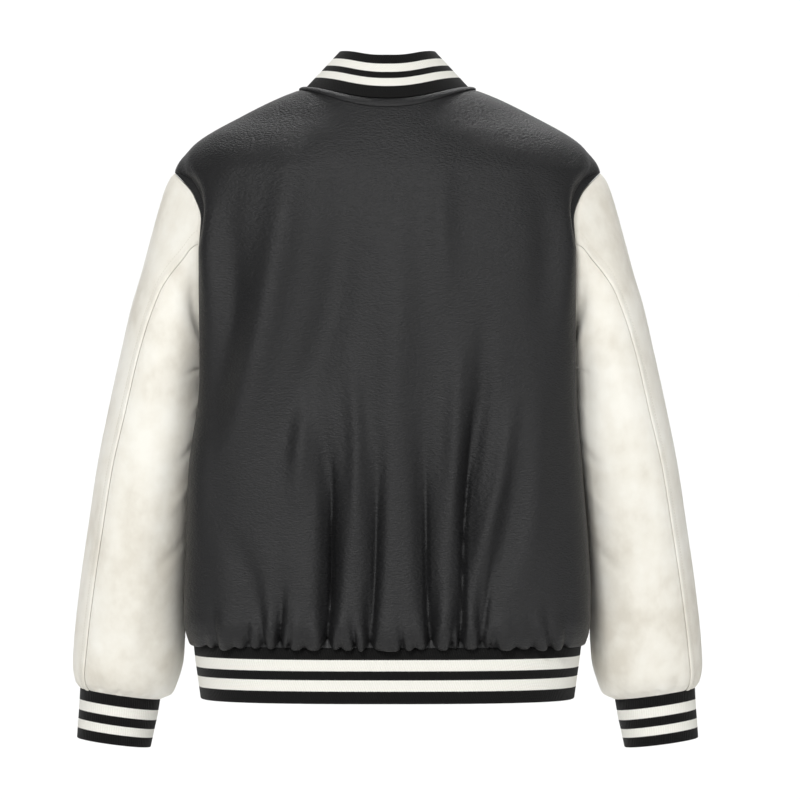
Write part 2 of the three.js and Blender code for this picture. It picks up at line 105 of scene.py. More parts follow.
BAND = table(
    "z half side back front square",
    (-615.3, 215, 215, 123, 121, 2.7),
    (-632, 213, 213, 122, 120, 2.7),
    (-654, 210, 210, 120, 118, 2.7),
    (-676, 207, 207, 118, 116, 2.7),
)
SLEEVE = table(
    "z x inner_x inner_z y depth seam",
    (-94, 236, 180, -290, 0, 72, 80),
    (-100, 241, 184.5, -290.5, 0, 72, 79),
    (-110, 246, 188, -292.5, 0, 72, 77),
    (-130, 252.5, 190.5, -296, 0, 72, 74),
    (-164, 262, 192.5, -301, 1, 73, 68),
    (-204, 273, 194, -307, 2, 74, 63),
    (-244, 285, 195.5, -315, 3, 75, 60),
    (-297, 297, 197.5, -330, 5, 75, 56),
    (-351, 309, 202.5, -372, 8, 73, 54),
    (-417, 322.5, 213, -434, 13, 70.5, 50.5),
    (-484, 333, 220, -501, 20, 67.5, 48.5),
    (-551, 343, 224.5, -568, 27, 64, 46.5),
    (-617, 350.5, 228, -634, 35, 59, 44),
    (-644, 352, 234.5, -661, 38, 56, 43),
    (-659, 350, 241, -675, 40, 50, 42),
    (-668, 344, 254, -681, 41, 41, 42),
)
CUFF = table(
    "z x inner_x inner_z y depth",
    (-668.4, 344, 254.5, -681.5, 41, 41),
    (-686, 345, 257.5, -698.5, 43, 40),
    (-704, 346.5, 261.5, -716.5, 45, 39),
    (-724, 348, 265.5, -735, 47, 38),
)

CUFF_WIDTH = CUFF["z"][0] - CUFF["z"][-1]
BAND_WIDTH = BAND["z"][0] - BAND["z"][-1]
# A side seam's half gap, as a share of a quarter round of the body.
SIDE = 1 - SEAM_GAP / 2 / 250

# ---- Folds ----
# How many times deeper the folds and gathers are made than their tables say.
FOLD_GAIN, SLEEVE_GAIN, HEM_GAIN, PUFF_GAIN, CUFF_GAIN = 2.1, 0.6, 1.6, 1.5, 0.8
# The hem stands out from its seam, and between its gathers it hangs over the waistband, more so under a puff.
# Each fades over a height. A gather "pinched" this deep leaves only the least hang. A gather's width at the seam
# is a share of its table's width, and it gains the whole of that over the height that it "widens" in.
HEM = {
    "out": 3.0,
    "out_fades": 22.0,
    "hang": 3.4,
    "hang_fades": 12.0,
    "least_hang": 0.9,
    "pinched": 3.6,
    "under_puff": 0.35,
    "seam_width": 0.6,
    "widens": 48.0,
}
# Gathers shorter than this lean by a share of their height. Taller ones run straight up. The sine of a multiple
# of a gather's number says which way it leans, so that left and right follow in no even order.
LEAN = {"share": 0.12, "below": 50.0, "order": 37}
# How far from a piece's seams its creases are whole again, and how deep and wide the sewn groove is.
CREASE_FADE = {"side": 9.0, "gather_side": 6.0, "top": 9.0, "hem": 5.0, "sleeve_side": 8.0, "sleeve_top": 12.0}
SEAM_SINK, SEAM_WIDTH, HEM_SINK = 0.9, 1.6, 0.6
# The sleeve is fuller than an ellipse at the back and front of its inner side, by this much round this turn.
# It starts below a height, grows downwards, and is gone again at the cuff.
SLEEVE_FULL = {"out": 6.0, "turn": 132.0, "wide": 26.0, "below": -300.0, "grows": 90.0, "above_cuff": 60.0}
# A row is how deep a soft fold is, how wide it is and the (x, z) points of its spine. It is above 0 deep for a
# ridge and below 0 for a trough. Its width is from its middle to where it is nearly gone, and it dies out at
# both ends of its spine.
BACK_FOLDS = [
    (6, 30, [(-100, -50), (-110, -127), (-120, -193), (-131, -256), (-143, -310), (-161, -372), (-188, -443)]),
    (-5, 36, [(-42, -80), (-48, -160), (-60, -250), (-84, -330), (-116, -400), (-146, -450)]),
    (3, 17, [(-88, -310), (-94, -390), (-97, -480)]),
    (-6, 16, [(-70, -360), (-62, -450), (-61, -530), (-66, -640)]),
    (4, 16, [(-38, -290), (-33, -400), (-36, -540)]),
    (-4, 13, [(-8, -370), (-11, -450), (-13, -530), (-20, -640)]),
    (4, 34, [(12, -110), (10, -250), (6, -380), (5, -540)]),
    (-4.5, 17, [(38, -350), (40, -440), (42, -540), (48, -640)]),
    (4, 18, [(78, -270), (74, -380), (68, -520)]),
    (-5, 16, [(106, -240), (103, -340), (88, -440), (82, -540), (79, -640)]),
    (4, 16, [(138, -330), (124, -420), (106, -500), (98, -560)]),
    (-3, 20, [(150, -400), (132, -490), (112, -560), (103, -640)]),
    (2.5, 26, [(165, -300), (160, -420), (150, -560)]),
    (-3, 22, [(-170, -480), (-150, -540), (-140, -640)]),
    (2.5, 24, [(60, -70), (58, -160), (64, -250)]),
    (-2.6, 4.6, [(-60, -400), (-61, -530), (-66, -700)]),
    (-1.6, 4.4, [(-10, -420), (-13, -530), (-20, -700)]),
    (-2.2, 4.6, [(41, -400), (43, -540), (48, -700)]),
    (-2.4, 4.6, [(96, -330), (84, -480), (79, -700)]),
    (-1.6, 4.4, [(118, -500), (106, -590), (102, -700)]),
    (-1.6, 4.8, [(-112, -540), (-117, -600), (-118, -700)]),
    (-3, 26, [(-160, -150), (-170, -230), (-180, -300), (-196, -400)]),
    (2.5, 24, [(-196, -330), (-205, -420), (-208, -520)]),
]
FRONT_FOLDS = [
    (4.5, 28, [(-150, -90), (-140, -180), (-126, -260), (-118, -340)]),
    (-4.5, 26, [(-108, -160), (-100, -260), (-98, -360), (-104, -460)]),
    (4, 20, [(-70, -300), (-66, -420), (-72, -560)]),
    (-5, 16, [(-128, -380), (-122, -480), (-118, -560), (-116, -640)]),
    (3.5, 18, [(-160, -400), (-154, -480), (-150, -580)]),
    (-4, 14, [(-40, -420), (-42, -520), (-46, -640)]),
    (4.5, 28, [(146, -80), (134, -170), (124, -250), (120, -320)]),
    (-4, 26, [(100, -140), (94, -240), (98, -340), (106, -430)]),
    (4, 18, [(64, -320), (68, -430), (64, -560)]),
    (-5, 15, [(92, -400), (96, -500), (98, -570), (100, -640)]),
    (3.5, 18, [(132, -360), (138, -460), (136, -570)]),
    (-3.5, 16, [(166, -420), (160, -520), (156, -640)]),
    (-3.5, 13, [(36, -440), (38, -530), (40, -640)]),
]
# Gathers where the body is sewn to the waistband: x, how deep, how wide at the seam and how high they reach.
BACK_GATHERS = table(
    "x deep wide tall",
    (-198, 1.5, 6, 26),
    (-185, 3.5, 5, 30),
    (-166, 1.5, 7, 34),
    (-151, 3.5, 4.5, 24),
    (-134, 4.5, 5, 42),
    (-117, 6, 6, 62),
    (-107, 4, 3.5, 15),
    (-90, 2, 6, 20),
    (-66, 6.5, 6, 80),
    (-50, 2, 5, 18),
    (-34, 4.5, 3.5, 18),
    (-20, 5.5, 5, 58),
    (17, 4, 4, 17),
    (31, 2, 5, 22),
    (48, 6, 6, 70),
    (69, 4.5, 3.5, 17),
    (79, 5, 4.5, 55),
    (102, 5.5, 5, 60),
    (113, 3.5, 3.5, 15),
    (119, 3.5, 3, 13),
    (140, 2, 7, 26),
    (158, 2.5, 6, 20),
    (177, 4, 4.5, 22),
    (192, 3, 5, 26),
)
FRONT_GATHERS = table(
    "x deep wide tall",
    (-197, 3, 5, 26),
    (-180, 4, 5, 30),
    (-161, 3, 5, 20),
    (-143, 4.5, 4.5, 34),
    (-118, 6, 6, 66),
    (-101, 3.5, 4, 16),
    (-84, 5, 5, 40),
    (-63, 3.5, 4, 18),
    (-46, 5, 5, 55),
    (-28, 3, 4, 16),
    (24, 3, 4, 18),
    (40, 5, 5, 52),
    (57, 3.5, 4, 16),
    (76, 4.5, 5, 30),
    (99, 6, 6, 64),
    (115, 3.5, 4, 17),
    (134, 4, 5, 26),
    (156, 5, 5, 48),
    (175, 3.5, 5, 22),
    (193, 3, 5, 26),
)
# Puffs of cloth between the gathers: x, height above the seam, radius and how far they stand out.
BACK_PUFFS = table(
    "x up radius out",
    (-176, 16, 13, 3),
    (-142, 14, 9, 2.5),
    (-126, 20, 11, 2),
    (-99, 22, 12, 3),
    (-78, 14, 10, 2),
    (-53, 24, 14, 4),
    (-27, 10, 7, 3),
    (4, 14, 14, 2),
    (30, 16, 11, 2),
    (58, 24, 12, 4),
    (90, 20, 10, 2.5),
    (108, 18, 9, 3.5),
    (132, 14, 13, 2),
    (167, 14, 12, 3),
    (186, 12, 9, 3),
)
FRONT_PUFFS = table(
    "x up radius out",
    (-170, 16, 12, 3),
    (-130, 20, 13, 3),
    (-92, 16, 10, 2.5),
    (-56, 18, 10, 2.5),
    (34, 14, 9, 2),
    (66, 18, 11, 3),
    (88, 14, 10, 2.5),
    (124, 18, 12, 3),
    (166, 16, 12, 3),
)
# The crest beside each armhole and the small pleats outside it run down spines of (degrees from centre, z).
PLEATS = [
    (2.4, 6, [(86, -58), (77, -84), (70.5, -104), (66, -140), (64, -200), (61, -300)]),
    (-4, 7, [(88, -66), (80, -92), (74.5, -114), (71.5, -140), (69, -180)]),
    (1.1, 1.9, [(82, -78), (77, -98), (74, -118), (71, -146)]),
    (-1.1, 1.6, [(86, -86), (80, -104), (77, -124)]),
    (-1.6, 6, [(58, -80), (58, -130), (57, -200), (55, -290)]),
]
# Folds of a sleeve run along spines of (turn, z); turn is degrees from the outer line towards the back.
SLEEVE_FOLDS = [
    (-2.2, 9, [(170, -240), (140, -262), (118, -300)]),
    (2, 9, [(180, -300), (150, -320), (125, -352)]),
    (-2.6, 9, [(178, -352), (148, -372), (118, -412)]),
    (2, 10, [(165, -402), (140, -430), (112, -470)]),
    (-2, 10, [(160, -470), (132, -500), (100, -540)]),
    (1.6, 14, [(92, -200), (86, -300), (80, -400)]),
    (-1.8, 14, [(70, -380), (76, -470), (84, -560)]),
    (1.6, 12, [(110, -520), (100, -580), (92, -640)]),
    (-1.5, 14, [(20, -150), (12, -220), (8, -300)]),
    (-1.6, 12, [(30, -420), (24, -500), (20, -600)]),
    (-2.4, 9, [(-170, -246), (-145, -270), (-120, -310)]),
    (2, 9, [(-176, -310), (-150, -332), (-126, -370)]),
    (-2.6, 9, [(-178, -372), (-150, -396), (-116, -436)]),
    (2.2, 11, [(-160, -430), (-130, -470), (-100, -500)]),
    (-2, 12, [(-70, -180), (-66, -260), (-70, -340)]),
    (-1.8, 12, [(-40, -460), (-46, -540), (-54, -620)]),
]
SLEEVE_GATHERS = table(
    "turn deep wide tall",
    (4, 2, 5, 16),
    (27, 3, 4, 22),
    (44, 2, 3, 12),
    (63, 2.6, 5, 26),
    (88, 3, 4, 15),
    (104, 1.8, 4, 20),
    (127, 2.6, 5, 24),
    (151, 2.4, 4, 14),
    (176, 3, 5, 22),
    (199, 2, 4, 14),
    (218, 2.8, 5, 26),
    (243, 2, 4, 15),
    (262, 2.8, 5, 20),
    (287, 2.2, 4, 16),
    (306, 3, 5, 26),
    (332, 2.2, 4, 14),
)

# The lapped seam down each sleeve: how far the lap stands up, how wide it is, and where its stitches sink in.
LAP_RISE, LAP_WIDTH, LAP_STITCHES, STITCH_DENT, UNDER_DIP = 0.9, 7.5, 5.0, 0.25, 0.5
STITCH_COLUMN = -6

# ---- Mesh rows and columns ----
HEM_ROWS_END, EVEN_ROWS = -588.0, 0.7
BODY_ROWS = {"hem": 25, "side": 54, "armhole": 44, "shoulder": 26}
BACK_COLUMNS, FRONT_COLUMNS, LAP_COLUMNS = 321, 165, 6
SLEEVE_COLUMNS = {"top": 84, "under": 100}
SLEEVE_ROWS_NEAR, SLEEVE_ROWS_FAR, SLEEVE_MEAN_RADIUS = 30.0, 64.0, 70.0
CUFF_COLUMNS, BAND_COLUMNS, COLLAR_COLUMNS, CORNER_COLUMNS = 240, 620, 150, 24
CUFF_ROWS, BAND_ROWS, COLLAR_ROWS = 22, 26, 24
RIM_ROWS, RIM_END = (0, 0.06, 0.2, 0.45, 0.8, 1.2), 1.8
WELT_COLUMNS, WELT_ROWS = 320, 12
SNAP_SIDES, STITCH_SIDES = 48, 6

# The waistband's top edge rises behind the leather's edge, and sinks in to clear it.
RIB_RISE, RIB_SINK = 1.8, 2.4

# The rib's wales and courses are this far apart.
WALE, COURSE = 2.6, 1.5
# Where the stripes of a rib piece change, as shares of its width from the free edge.
STRIPES = {
    "collar": (0.222, 0.41, 0.555, 0.735),
    "cuff": (0.222, 0.405, 0.588, 0.79),
    "band": (0.23, 0.43, 0.594, 0.794),
}


# ---- Small tools ----
def smooth(t):
    t = np.clip(t, 0, 1)
    return t * t * (3 - 2 * t)


def mix(a, b, t):
    return a + (b - a) * t


def column(rows, name, z):
    """A column of a table at heights z, by monotone cubic interpolation between its rows."""
    heights, values = -rows["z"], rows[name]
    height = -np.asarray(z, float)
    slope = np.diff(values) / np.diff(heights)
    before = np.concatenate([slope[:1], slope])
    after = np.concatenate([slope, slope[-1:]])
    total = np.where(before + after == 0, 1, before + after)
    tangent = np.where(before * after > 0, 2 * before * after / total, 0)
    i = np.clip(np.searchsorted(heights, height, side="right") - 1, 0, len(values) - 2)
    width = heights[i + 1] - heights[i]
    t = np.clip((height - heights[i]) / width, 0, 1)
    rise = values[i + 1] - values[i]
    first, last = tangent[i] * width, tangent[i + 1] * width
    return values[i] + t * (first + t * (3 * rise - 2 * first - last + t * (first + last - 2 * rise)))


def normals(grid, away, closed=False):
    """Unit normals of a grid of points, on the side that away points to."""
    along = np.gradient(grid, axis=1)
    if closed:
        wrapped = np.concatenate([grid[:, -1:], grid, grid[:, :1]], axis=1)
        along = np.gradient(wrapped, axis=1)[:, 1:-1]
    normal = np.cross(along, np.gradient(grid, axis=0))
    normal /= np.maximum(np.linalg.norm(normal, axis=-1, keepdims=True), 1e-9)
    return normal if (normal * away).sum() > 0 else -normal


def distances(grid):
    """How far each point lies from the first column and from the first row, along the cloth."""
    across = np.linalg.norm(np.diff(grid, axis=1), axis=-1)
    along = np.gradient(grid, axis=1)
    along /= np.linalg.norm(along, axis=-1, keepdims=True)
    step, along = np.diff(grid, axis=0), (along[1:] + along[:-1]) / 2
    down = np.linalg.norm(step - along * (step * along).sum(axis=-1, keepdims=True), axis=-1)
    u = np.concatenate([np.zeros((grid.shape[0], 1)), np.cumsum(across, axis=1)], axis=1)
    v = np.concatenate([np.zeros((1, grid.shape[1])), np.cumsum(down, axis=0)], axis=0)
    return u, v


def spine_fold(fold, place, z, gain=FOLD_GAIN):
    """One soft fold's lift at places (x, or degrees) and heights z."""
    deep, wide, spine = fold
    points = np.array(spine, float)
    points = points[np.argsort(points[:, 1])]
    low, high = points[0, 1], points[-1, 1]
    share = np.clip((z - low) / (high - low), 0, 1)
    middle = np.interp(z, points[:, 1], points[:, 0])
    along = np.sin(np.pi * share) ** 1.2
    return gain * deep * along * np.exp(-((1.5 * (place - middle) / wide) ** 2))


# ---- The body's form ----
def section(rows, angle, z):
    """Points of level sections. angle is 0 at the centre back and a right angle at the wearer's right."""
    names = ("half", "side", "back", "front", "square")
    half, side, back, front, square = (column(rows, name, z) for name in names)
    across, along = np.sin(angle), np.cos(angle)
    depth = np.where(along > 0, back, front)
    radius = (np.abs(across / half) ** square + np.abs(along / depth) ** square) ** (-1 / square)
    y = -radius * along
    pull = np.where(np.abs(y) < ARM_REACH, np.cos(np.pi / 2 * y / ARM_REACH) ** 2, 0)
    x = radius * across + np.sign(across) * (side - half) * pull * np.abs(across)
    return np.stack([x, y, z + 0 * x], axis=-1)


def neck(angle, outside=0.0):
    """The neck seam, or a line on the body this far outside it. Its height is found by halving."""
    depth = np.where(np.cos(angle) > 0, NECK["back"], NECK["front"]) + outside
    radius = 1 / np.hypot(np.sin(angle) / (NECK["half"] + outside), np.cos(angle) / depth)
    x, y = radius * np.sin(angle), -radius * np.cos(angle)
    low, high = np.full_like(x, NECK_LOWEST), np.full_like(x, BODY["z"][0])
    for _ in range(HALVINGS):
        middle = (low + high) / 2
        half, square = column(BODY, "half", middle), column(BODY, "square", middle)
        reach = np.where(y < 0, column(BODY, "back", middle), column(BODY, "front", middle))
        inside = np.abs(x / half) ** square + np.abs(y / reach) ** square < 1
        low, high = np.where(inside, middle, low), np.where(inside, high, middle)
    return np.stack([x, y, low], axis=-1)


def armhole_angle(z, front):
    """The angle from the centre line at which the armhole cuts the section at this height."""
    t = np.clip((z - ARMHOLE["z"]) / (ARMHOLE["height"] + SEAM_GAP), -1, 1)
    y = (ARMHOLE["front" if front else "back"] + SEAM_GAP) * np.sqrt(1 - t * t)
    depth, square = column(BODY, "front" if front else "back", z), column(BODY, "square", z)
    x = column(BODY, "half", z) * (1 - (y / depth) ** square) ** (1 / square)
    return np.arctan2(x, y)


def body_rows():
    """Heights of the body's rows, closest at the hem and a little closer at both ends of the armhole."""
    height = ARMHOLE["height"] + SEAM_GAP
    hem = np.linspace(HEM_Z, HEM_ROWS_END, BODY_ROWS["hem"])
    side = np.linspace(HEM_ROWS_END, ARMHOLE["z"] - height, BODY_ROWS["side"])[1:]
    share = np.linspace(0, 1, BODY_ROWS["armhole"])[1:]
    armhole = ARMHOLE["z"] + height * mix(-np.cos(np.pi * share), 2 * share - 1, EVEN_ROWS)
    shoulder = np.linspace(ARMHOLE["z"] + height, 0, BODY_ROWS["shoulder"])[1:]
    return np.concatenate([hem, side, armhole, shoulder])


def body_form(shares, front):
    """The plain form of the back or a front: a grid of points, with each one's angle from the centre line.

    A column's share is 0 at the centre line and 1 at the side. Its top lies on the neck seam or the shoulder.
    """
    share, z = np.meshgrid(shares, body_rows())
    fade = smooth((z - LEVEL_BELOW) / -LEVEL_BELOW)
    turn = np.append(np.abs(share[0]), 1.0) * math.pi / 2
    heights = neck(math.pi - turn if front else turn)[:, 2]
    height = z - fade * (heights[-1] - heights[:-1])
    end = armhole_angle(z, front)
    angle = share * math.pi / 2 - np.sign(share) * (math.pi / 2 - end) * share**4
    return section(BODY, math.pi - angle if front else angle, height), angle


def gather(up, tall, power):
    """How much of a gather is left at these heights above its seam."""
    return np.exp(-((up / tall) ** power))


def hem_shape(x, z, gathers, puffs):
    """What the gathers at the hem and the puffs between them add, and how far the cloth hangs down."""
    up = z - HEM_Z
    pinch = np.zeros_like(x)
    for i, (middle, deep, wide, tall) in enumerate(zip(*gathers.values())):
        lean = LEAN["share"] * up * np.sign(np.sin(LEAN["order"] * i)) * (tall < LEAN["below"])
        off = (x - middle - lean) / (wide * (HEM["seam_width"] + up / HEM["widens"]))
        pinch += deep * gather(up, 1.25 * tall, 1.5) * np.exp(-(np.abs(off) ** 1.7))
    puffed = np.zeros_like(x)
    for middle, height, radius, out in zip(*puffs.values()):
        away = ((x - middle) / radius) ** 2 + ((up - height) / (1.3 * radius)) ** 2
        puffed += PUFF_GAIN * out * np.exp(-away)
    lift = (HEM["out"] * np.exp(-((up / HEM["out_fades"]) ** 2)) + puffed) * smooth(up / 5)
    lift -= HEM_GAIN * pinch * smooth(up / 2.6)
    hang = np.clip(HEM["hang"] * (1 - pinch / HEM["pinched"]), HEM["least_hang"], HEM["hang"])
    hang += HEM["under_puff"] * puffed
    return lift, -hang * smooth(up / 2.2) * np.exp(-((up / HEM["hang_fades"]) ** 2))


def from_axis(grid):
    """The level direction from the body's axis to each point."""
    return grid * np.array([1.0, 1.0, 0.0])


def groove(distance):
    """How far a sewn edge sinks into its seam."""
    return SEAM_SINK * np.exp(-((distance / SEAM_WIDTH) ** 2))


def body_grid(shares, front, tuck=0.0):
    """The outer face of the back or a front, creased, and where each point lies on the flat cloth.

    A front's first column is its free edge.
    """
    base, angle = body_form(shares, front)
    x, z = base[..., 0], base[..., 2]
    u, v = distances(base)
    side = u[:, -1:] - u if front else np.minimum(u, u[:, -1:] - u)
    top = v[-1:] - v
    lift = sum(spine_fold(fold, x, z) for fold in (FRONT_FOLDS if front else BACK_FOLDS))
    from_centre = np.degrees(np.abs(angle))
    lift = lift + sum(spine_fold(pleat, from_centre, z) for pleat in PLEATS)
    hem = (FRONT_GATHERS, FRONT_PUFFS) if front else (BACK_GATHERS, BACK_PUFFS)
    gathered, sag = hem_shape(x, z, *hem)
    lift = lift * smooth(side / CREASE_FADE["side"]) * smooth(top / CREASE_FADE["top"])
    lift = lift * smooth(v / CREASE_FADE["hem"]) + gathered * smooth(side / CREASE_FADE["gather_side"])
    lift = lift - groove(side) - groove(top) - HEM_SINK * groove(v) - tuck
    grid = base + normals(base, from_axis(base)) * lift[..., None]
    grid[..., 2] += sag
    middle = u.shape[1] // 2
    return grid, (u - u[:, middle : middle + 1], v)


# ---- The sleeves' form ----
def ring(rows, turn, z):
    """Points of a sleeve's or cuff's rings. turn is 0 at the outer point and a right angle at the back."""
    names = ("x", "inner_x", "inner_z", "y", "depth")
    x, inner_x, inner_z, y, depth = (column(rows, name, z) for name in names)
    inwards = (1 - np.cos(turn)) / 2
    return np.stack([mix(x, inner_x, inwards), y - depth * np.sin(turn), mix(z, inner_z, inwards)], axis=-1)


def from_middle(rows, turn, z):
    """The direction from the middle of each ring to its points."""
    return ring(rows, turn, z) - (ring(rows, 0 * turn, z) + ring(rows, 0 * turn + math.pi, z)) / 2


def armhole(turn):
    """The armhole's line on the body, for the same turns as a sleeve's rings."""
    z = ARMHOLE["z"] + ARMHOLE["height"] * np.cos(turn)
    front = np.sin(turn) < 0
    y = -np.where(front, ARMHOLE["front"], ARMHOLE["back"]) * np.sin(turn)
    depth = np.where(front, column(BODY, "front", z), column(BODY, "back", z))
    square = column(BODY, "square", z)
    x = column(BODY, "half", z) * (1 - np.abs(y / depth) ** square) ** (1 / square)
    return section(BODY, np.arctan2(x, -y), z)


def sleeve_form(turn, z):
    """The sleeve's plain form. Its shoulder end is led on to the armhole."""
    top = SLEEVE["z"][0]
    fade = smooth((z - SHOULDER_FADE_END) / (top - SHOULDER_FADE_END))
    shift = armhole(turn) - ring(SLEEVE, turn, top + 0 * turn)
    return ring(SLEEVE, turn, z) + shift * fade[..., None]


def turned_from(turn, middle):
    """How many degrees a turn in radians is from a turn in degrees, from -180 to 180."""
    return (np.degrees(turn) - middle + 180) % 360 - 180


def sleeve_rows():
    """Distances up the sleeve from the cuff, closest at the cuff and at the armhole."""
    length = SLEEVE["z"][0] - SLEEVE["z"][-1]
    near = np.linspace(0, SLEEVE_ROWS_NEAR, 26)
    middle = np.linspace(SLEEVE_ROWS_NEAR, length - SLEEVE_ROWS_FAR, 130)[1:]
    far = np.linspace(length - SLEEVE_ROWS_FAR, length, 30)[1:]
    return np.concatenate([near, middle, far])


def sleeve_turns(z, columns, over):
    """The turns of a panel's columns at heights z. Its seams are the elbow's and the one inside the arm."""
    elbow = np.radians(column(SLEEVE, "seam", z))
    gap = SEAM_GAP / 2 / SLEEVE_MEAN_RADIUS
    inside = math.radians(-SLEEVE_SEAM)
    share = np.linspace(0, 1, columns)[None, :]
    if over:
        return mix(inside + gap, elbow - gap, share)
    return mix(elbow + gap, inside + 2 * math.pi - gap, share)


def sleeve_creases(turn, z, up):
    """What a sleeve's folds, fullness and gathers at the cuff add, and how far the gathers lift the cloth."""
    lift = 0.0
    for fold in SLEEVE_FOLDS:
        spine = fold[-1]
        shown = turned_from(turn, 0) if spine[0][0] < 0 else np.degrees(turn) % 360
        lift = lift + spine_fold(fold, shown, z, SLEEVE_GAIN)
    above = z - SLEEVE["z"][-1]
    full = smooth((SLEEVE_FULL["below"] - z) / SLEEVE_FULL["grows"]) * smooth(above / SLEEVE_FULL["above_cuff"])
    for middle in (SLEEVE_FULL["turn"], -SLEEVE_FULL["turn"]):
        off = turned_from(turn, middle)
        lift = lift + SLEEVE_FULL["out"] * full * np.exp(-((off / SLEEVE_FULL["wide"]) ** 2))
    sag = 0.0
    for middle, deep, wide, tall in zip(*SLEEVE_GATHERS.values()):
        away = turned_from(turn, middle) / (wide * (1 + up / 30))
        pinch = deep * smooth(up / 5) * gather(up, tall, 1.4) * np.exp(-(away**2))
        lift = lift - CUFF_GAIN * pinch
        sag = sag + 0.3 * pinch
    return lift, sag


def sleeve_grid(columns, over):
    """The outer face of a right sleeve's top or under panel, creased, from the cuff up.

    It comes with the direction away from the sleeve's middle, and where each point lies on the flat cloth.
    The top panel laps over the under panel at the elbow seam, and is sewn down along the lap.
    """
    z = np.repeat((SLEEVE["z"][-1] + sleeve_rows())[:, None], columns, axis=1)
    turn = sleeve_turns(z, columns, over)
    base = sleeve_form(turn, z)
    u, v = distances(base)
    first, last = u, u[:, -1:] - u
    seam, inseam = (last, first) if over else (first, last)
    top = v[-1:] - v
    lift, sag = sleeve_creases(turn, z, v)
    edge = CREASE_FADE["sleeve_side"]
    lift = lift * smooth(first / edge) * smooth(last / edge) * smooth(top / CREASE_FADE["sleeve_top"])
    if over:
        lift = lift + LAP_RISE * smooth((LAP_WIDTH - seam) / 1.5) * smooth(seam / 0.7)
        lift = lift - STITCH_DENT * np.exp(-(((seam - LAP_STITCHES) / 0.7) ** 2))
    else:
        lift = lift - UNDER_DIP * np.exp(-((seam / 2.5) ** 2))
    lift = lift - groove(inseam) - groove(top) - HEM_SINK * groove(v)
    away = from_middle(SLEEVE, turn, z)
    grid = base + normals(base, away) * lift[..., None]
    grid[..., 2] += sag
    return grid, away, (u, v)


# ---- The rib pieces' form ----
def rim(height):
    """How far each face of a rib piece is drawn in towards its middle near the folded free edge."""
    left = np.clip(1 - height / (RIB_WALL / 2), 0, 1)
    return RIB_WALL / 2 * (1 - np.sqrt(1 - left * left))


def rib_heights(width, rows):
    """Heights of a rib piece's rows above its free edge, closest where it is folded."""
    return np.concatenate([RIM_ROWS, np.linspace(RIM_END, width, rows)])


def rib_wall(name, base, away, height, closed=False, tuck=0.0):
    """A doubled knit wall whose first row is its folded free edge."""
    normal = normals(base, away, closed)
    outer = base - normal * (rim(height) + tuck)[..., None]
    inner = base - normal * (RIB_WALL - rim(height) + tuck)[..., None]
    return wall(name, outer, inner, (distances(outer)[0], height), closed)


def cuff_wall(name, side):
    """A cuff, a closed ring, on the wearer's right side at 1 or left side at -1."""
    turns = np.arange(CUFF_COLUMNS) / CUFF_COLUMNS * 2 * math.pi
    turn, up = np.meshgrid(turns, rib_heights(CUFF_WIDTH, CUFF_ROWS))
    z = CUFF["z"][-1] + up
    base, away = ring(CUFF, turn, z), from_middle(CUFF, turn, z)
    flip = np.array([side, 1.0, 1.0])
    return rib_wall(name, base * flip, away * flip, up, closed=True)


def band_wall(name):
    """The waistband, whose ends lap at the centre front: the wearer's right end is tucked in behind."""
    lap = LAP / BAND["front"][0]
    angles = np.linspace(-math.pi - lap, math.pi + lap, BAND_COLUMNS)
    angle, up = np.meshgrid(angles, rib_heights(BAND_WIDTH + RIB_RISE, BAND_ROWS))
    base = section(BAND, angle, BAND["z"][-1] + up)
    tuck = (RIB_WALL + LAP_GAP) * smooth((angle - (math.pi - 2.6 * lap)) / lap)
    tuck = tuck + RIB_SINK * smooth((up - BAND_WIDTH + 0.8) / (RIB_RISE + 0.8))
    return rib_wall(name, base, from_axis(base), up, tuck=tuck)


def collar_point(angle, up):
    """A point of the collar, this far up from the neck seam."""
    turned, half = np.abs(angle), math.pi / 2
    near = mix(COLLAR_LEAN["back"], COLLAR_LEAN["side"], smooth(turned / half))
    far = mix(COLLAR_LEAN["side"], COLLAR_LEAN["front"], smooth((turned - half) / half))
    lean = np.radians(np.where(turned < half, near, far))
    foot = neck(angle)
    along = neck(angle + 0.01) - neck(angle - 0.01)
    along /= np.linalg.norm(along, axis=-1, keepdims=True)
    inwards = np.stack([-along[..., 1], along[..., 0], 0 * turned], axis=-1)
    inwards /= np.linalg.norm(inwards, axis=-1, keepdims=True)
    inwards *= -np.sign((inwards * foot).sum(axis=-1, keepdims=True))
    rise = inwards * np.cos(lean)[..., None]
    rise[..., 2] = np.sin(lean)
    rise -= along * (rise * along).sum(axis=-1, keepdims=True)
    rise /= np.linalg.norm(rise, axis=-1, keepdims=True)
    return foot + rise * (COLLAR_GAP + up)[..., None]


def collar_wall(name):
    """The collar, open at the centre front, with round upper corners."""
    end = math.pi - COLLAR_APART / NECK["front"]
    quarter = np.linspace(0, math.pi / 2, CORNER_COLUMNS)
    corner = end - COLLAR_CORNER / NECK["front"] * (1 - np.cos(quarter))[::-1]
    right = np.concatenate([np.linspace(0, corner[0], COLLAR_COLUMNS)[:-1], corner])
    angles = np.concatenate([-right[:0:-1], right])
    angle, height = np.meshgrid(angles, rib_heights(COLLAR_WIDTH, COLLAR_ROWS))
    left = np.clip(1 - (end - np.abs(angle)) * NECK["front"] / COLLAR_CORNER, 0, 1)
    reach = 1 - COLLAR_CORNER / COLLAR_WIDTH * (1 - np.sqrt(1 - left * left))
    up = (COLLAR_WIDTH - height) * reach
    base = collar_point(angle, up)
    away = from_axis(neck(angle))
    normal = normals(base, away)
    outer = base - normal * rim(height)[..., None]
    inner = base - normal * (RIB_WALL - rim(height))[..., None]
    return wall(name, outer, inner, (distances(outer)[0], COLLAR_WIDTH - up))


